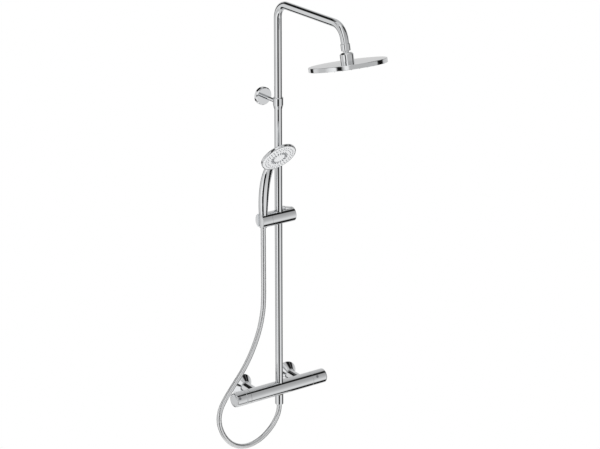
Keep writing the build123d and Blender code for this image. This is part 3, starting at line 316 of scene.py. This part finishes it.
class SHOWER_OT_hose(bpy.types.Operator):
    """Makes the hose from the outlet, round its loop and up to the cone nut"""

    bl_idname = "shower.hose"
    bl_label = "Hose"

    def execute(self, context):
        diameter = context.scene.shower_hose.diameter
        finish = bpy.data.materials["silver_hose"]
        spans = [
            ("hose_main", HOSE_MAIN, "fixed_column", "slider", (HOSE_FREE_FROM, HOSE_MAIN[-1][1]),
             ["hose_loop", "hose_drop"], "object", ["outlet_nut"]),
            ("hose_upper", HOSE_NECK, "slider", "cradle", (HOSE_NECK[0][1], HOSE_NECK[-1][1]),
             ["hose_neck"], "object", []),
            ("hose_end", HOSE_TAIL, "cradle", "hose_cone", (HOSE_TAIL[0][1], HOSE_TAIL[-1][1]),
             ["hose_tail"], "fitting", ["hose_cone_nut"]),
        ]
        for name, points, lower, upper, heights, nodes, far_end, pieces in spans:
            tube, path = hose_tube(name, points, diameter)
            tube.data.materials.clear()
            tube.data.materials.append(finish)
            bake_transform(tube)
            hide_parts(*nodes)
        return {"FINISHED"}


# The light tent, in degrees. Its dark gaps come in rows from the bottom up: the height of the row, then the
# azimuth of each gap there and half its width. The left side has its own tones round it, and the back and the
# other sides have tones by height. Azimuths are counted from the seam, which no gap or side crosses.
SEAM = -75
GAP_ROWS = [
    (-65, []),
    (-60, [(-124, 18), (-8, 31), (108, 13)]),
    (-50, [(-124, 18), (-8, 31), (108, 13)]),
    (-42, [(-124, 18), (-18, 20), (108, 13)]),
    (-29, [(-124, 18), (-18, 20), (108, 13)]),
    (-24, [(-124, 18), (-18, 20), (104, 8)]),
    (-14, [(-124, 18), (-18, 20), (104, 8)]),
    (-8, [(-134, 9), (-18, 13), (104, 8)]),
    (0, [(-147, 9), (-18, 10), (104, 8)]),
    (8, [(-154, 9), (-18, 10), (104, 8)]),
    (14, [(-158, 9), (-18, 10), (8, 7), (104, 8)]),
    (24, [(-164, 9), (-18, 10), (8, 7), (104, 8)]),
    (31, [(-168, 9), (-18, 10), (8, 7), (96, 25)]),
    (36, [(-170, 10), (-18, 15), (110, 39)]),
    (40, [(-172, 12), (-18, 20), (110, 39)]),
    (44, [(-173, 12), (-18, 20), (108, 13)]),
    (58, [(-176, 12), (-18, 20), (108, 13)]),
    (65, []),
]
BACK_SIDE = (32, 76)
BACK_TONES = [(-10, 0.66), (5, 0.66), (15, 0.62), (30, 0.56), (60, 0.5), (90, 0.8)]
LEFT_SIDE = (110, 234)
LEFT_TONES = [
    (110, 0.62), (121, 0.74), (130, 0.74), (145, 0.58), (165, 0.58), (180, 0.85), (190, 0.95), (234, 0.95),
]
SIDE_TONES = [
    (-90, 0.55), (-50, 0.60), (-35, 0.74), (-24, 0.80), (-12, 0.66), (0, 0.57), (12, 0.49), (33, 0.41),
    (60, 0.45), (90, 0.80),
]


def round_share(angle):
    """An azimuth as a share of the way round from the seam."""
    return (angle - SEAM) % 360 / 360


def up_share(angle):
    """A height as a share of the way up from straight down."""
    return angle / 180 + 0.5


def ramp(tree, value, stops):
    """Grey ramp from (place, tone) stops in rising order, read at a value from 0 to 1."""
    node = add_node(tree, "ShaderNodeValToRGB", Fac=value)
    elements = node.color_ramp.elements
    elements.remove(elements[1])
    elements[0].position = stops[0][0]
    for place, _ in stops[1:]:
        elements.new(place)
    for element, (_, tone) in zip(elements, stops):
        element.color = (tone, tone, tone, 1.0)
    return node.outputs["Color"]


def window(low, high, soft):
    """Stops of a ramp round the tent that is bright between two azimuths."""
    edges = [(low - soft, 0), (low, 1), (high, 1), (high + soft, 0)]
    return [(round_share(angle), tone) for angle, tone in edges]


def gap_row(tree, turn, gaps, soft):
    """How far a direction lies in one row's gaps."""
    stops = [stop for at, half in gaps for stop in window(at - half, at + half, soft)]
    return ramp(tree, turn, sorted(stops) or [(0, 0)])


def dark_gaps(tree, turn, rise, soft):
    """How far a direction lies in a gap, blended from each row to the next one up."""
    below, gaps = GAP_ROWS[0]
    dark = gap_row(tree, turn, gaps, soft)
    for height, gaps in GAP_ROWS[1:]:
        share = add_node(tree, "ShaderNodeMapRange", Value=rise,
                         From_Min=up_share(below), From_Max=up_share(height))
        row = gap_row(tree, turn, gaps, soft)
        dark = add_node(tree, "ShaderNodeMix", _0=share.outputs[0], _2=dark, _3=row).outputs[0]
        below = height
    return dark


def light_tent(studio):
    """White tent with dark gaps, which give chrome its thin dark streaks; the camera itself sees white."""
    world = bpy.data.worlds.new("light_tent")
    bpy.context.scene.world = world
    world.use_nodes = True
    tree = world.node_tree
    way = add_node(tree, "ShaderNodeTexCoord").outputs["Generated"]
    turned = add_node(tree, "ShaderNodeMapping", Vector=way, Rotation=(0, 0, pi - radians(SEAM)))
    parts = add_node(tree, "ShaderNodeSeparateXYZ", Vector=turned.outputs[0])
    azimuth = add_node(tree, "ShaderNodeMath", {"operation": "ARCTAN2"},
                       _0=parts.outputs["Y"], _1=parts.outputs["X"])
    turn = add_node(tree, "ShaderNodeMath", {"operation": "MULTIPLY_ADD"},
                    _0=azimuth.outputs[0], _1=1 / (2 * pi), _2=0.5).outputs[0]
    height = add_node(tree, "ShaderNodeMath", {"operation": "ARCSINE"}, _0=parts.outputs["Z"])
    rise = add_node(tree, "ShaderNodeMath", {"operation": "MULTIPLY_ADD"},
                    _0=height.outputs[0], _1=1 / pi, _2=0.5).outputs[0]
    soft = degrees(studio.gap_soft)
    left = ramp(tree, turn, window(*LEFT_SIDE, soft))
    left_tone = ramp(tree, turn, [(round_share(angle), tone) for angle, tone in LEFT_TONES])
    side_tone = ramp(tree, rise, [(up_share(angle), tone) for angle, tone in SIDE_TONES])
    back = ramp(tree, turn, window(*BACK_SIDE, soft))
    back_tone = ramp(tree, rise, [(up_share(angle), tone) for angle, tone in BACK_TONES])
    behind = add_node(tree, "ShaderNodeMix", _0=back, _2=side_tone, _3=back_tone).outputs[0]
    bright = add_node(tree, "ShaderNodeMix", _0=left, _2=behind, _3=left_tone).outputs[0]
    dark = dark_gaps(tree, turn, rise, soft)
    tone = add_node(tree, "ShaderNodeMix", _0=dark, _2=bright, _3=studio.gap_tone).outputs[0]
    cloth = tree.nodes["Background"]
    tree.links.new(tone, cloth.inputs["Color"])
    white = add_node(tree, "ShaderNodeBackground", Color=(1, 1, 1, 1))
    seen = add_node(tree, "ShaderNodeLightPath").outputs["Is Camera Ray"]
    both = add_node(tree, "ShaderNodeMixShader", _0=seen, _1=cloth.outputs[0], _2=white.outputs[0])
    tree.links.new(both.outputs[0], tree.nodes["World Output"].inputs["Surface"])


# Turn of the fill light, in degrees: it comes from the room, low down, towards the spray face
FILL_TURN = (131.0, 0.0, -8.0)


def room_fill(studio):
    """Broad soft light that plain surfaces show and chrome does not."""
    data = bpy.data.lights.new("room_fill", "SUN")
    data.energy = studio.fill
    data.angle = studio.fill_spread
    lamp = bpy.data.objects.new("room_fill", data)
    lamp.rotation_euler = [radians(a) for a in FILL_TURN]
    lamp.visible_glossy = False
    bpy.context.scene.collection.objects.link(lamp)


FLOOR_SIDES = 96


def pale_floor(studio):
    """Round floor of white paper, lit a little from below, well under the object."""
    bpy.ops.object.select_all(action="DESELECT")
    low = CAD_BOX[0].z - studio.floor_drop
    bpy.ops.mesh.primitive_circle_add(
        vertices=FLOOR_SIDES, radius=studio.floor_radius, fill_type="NGON", location=(0, 0, low))
    floor = bpy.context.active_object
    floor.name = "studio_floor"
    paper = moulded("floor_paper", "#f2f2f1", "#fafaf9", 0.7, 0.85, 2.0)
    shader = paper.node_tree.nodes["Principled BSDF"]
    shader.inputs["Emission Color"].default_value = linear("#ffffff")
    shader.inputs["Emission Strength"].default_value = studio.floor_glow
    floor.data.materials.append(paper)


# The camera of the photograph, in metres and degrees
CAMERA_AT = (-2.9669, -4.4521, 2.4143)
CAMERA_TURN = (69.9263, 0.0, -34.7677)
CAMERA_LENS_MM = 125.08
CAMERA_SENSOR_MM = 36.0


def photo_camera():
    """Camera at the photograph's viewing angle."""
    data = bpy.data.cameras.new("photo_camera")
    data.sensor_width = CAMERA_SENSOR_MM
    data.lens = CAMERA_LENS_MM
    camera = bpy.data.objects.new("photo_camera", data)
    camera.location = CAMERA_AT
    camera.rotation_euler = [radians(a) for a in CAMERA_TURN]
    bpy.context.scene.collection.objects.link(camera)
    bpy.context.scene.camera = camera


class SHOWER_OT_stage(bpy.types.Operator):
    """Sets up the camera, the tent, the fill light and the floor"""

    bl_idname = "shower.stage"
    bl_label = "Stage"

    def execute(self, context):
        photo_camera()
        light_tent(context.scene.shower_studio)
        room_fill(context.scene.shower_studio)
        pale_floor(context.scene.shower_studio)
        context.scene.view_settings.view_transform = "Standard"
        return {"FINISHED"}


class SHOWER_PT_panel(bpy.types.Panel):
    """Lists the settings, then the pieces in the order that they are made"""

    bl_idname = "SHOWER_PT_panel"
    bl_label = "Rainfall Shower Column"
    bl_space_type = "VIEW_3D"
    bl_region_type = "UI"
    bl_category = SIDEBAR

    def draw(self, context):
        for group in GROUPS:
            settings = getattr(context.scene, group)
            for name in settings.bl_rna.properties.keys():
                if name not in ("rna_type", "name"):
                    self.layout.prop(settings, name)
        for operator in OPERATORS:
            self.layout.operator(operator.bl_idname)


GROUPS = {"shower_look": ShowerLook, "shower_hose": ShowerHose, "shower_studio": ShowerStudio}
OPERATORS = [SHOWER_OT_finishes, SHOWER_OT_hose, SHOWER_OT_stage]
CLASSES = [*GROUPS.values(), *OPERATORS, SHOWER_PT_panel]


def register():
    for kind in CLASSES:
        bpy.utils.register_class(kind)
    for name, group in GROUPS.items():
        setattr(bpy.types.Scene, name, bpy.props.PointerProperty(type=group))


def unregister():
    for name in GROUPS:
        delattr(bpy.types.Scene, name)
    for kind in reversed(CLASSES):
        bpy.utils.unregister_class(kind)


def main():
    """Makes the pieces in order."""
    register()
    for operator in OPERATORS:
        group, name = operator.bl_idname.split(".")
        getattr(getattr(bpy.ops, group), name)()


if __name__ == "__main__":
    main()
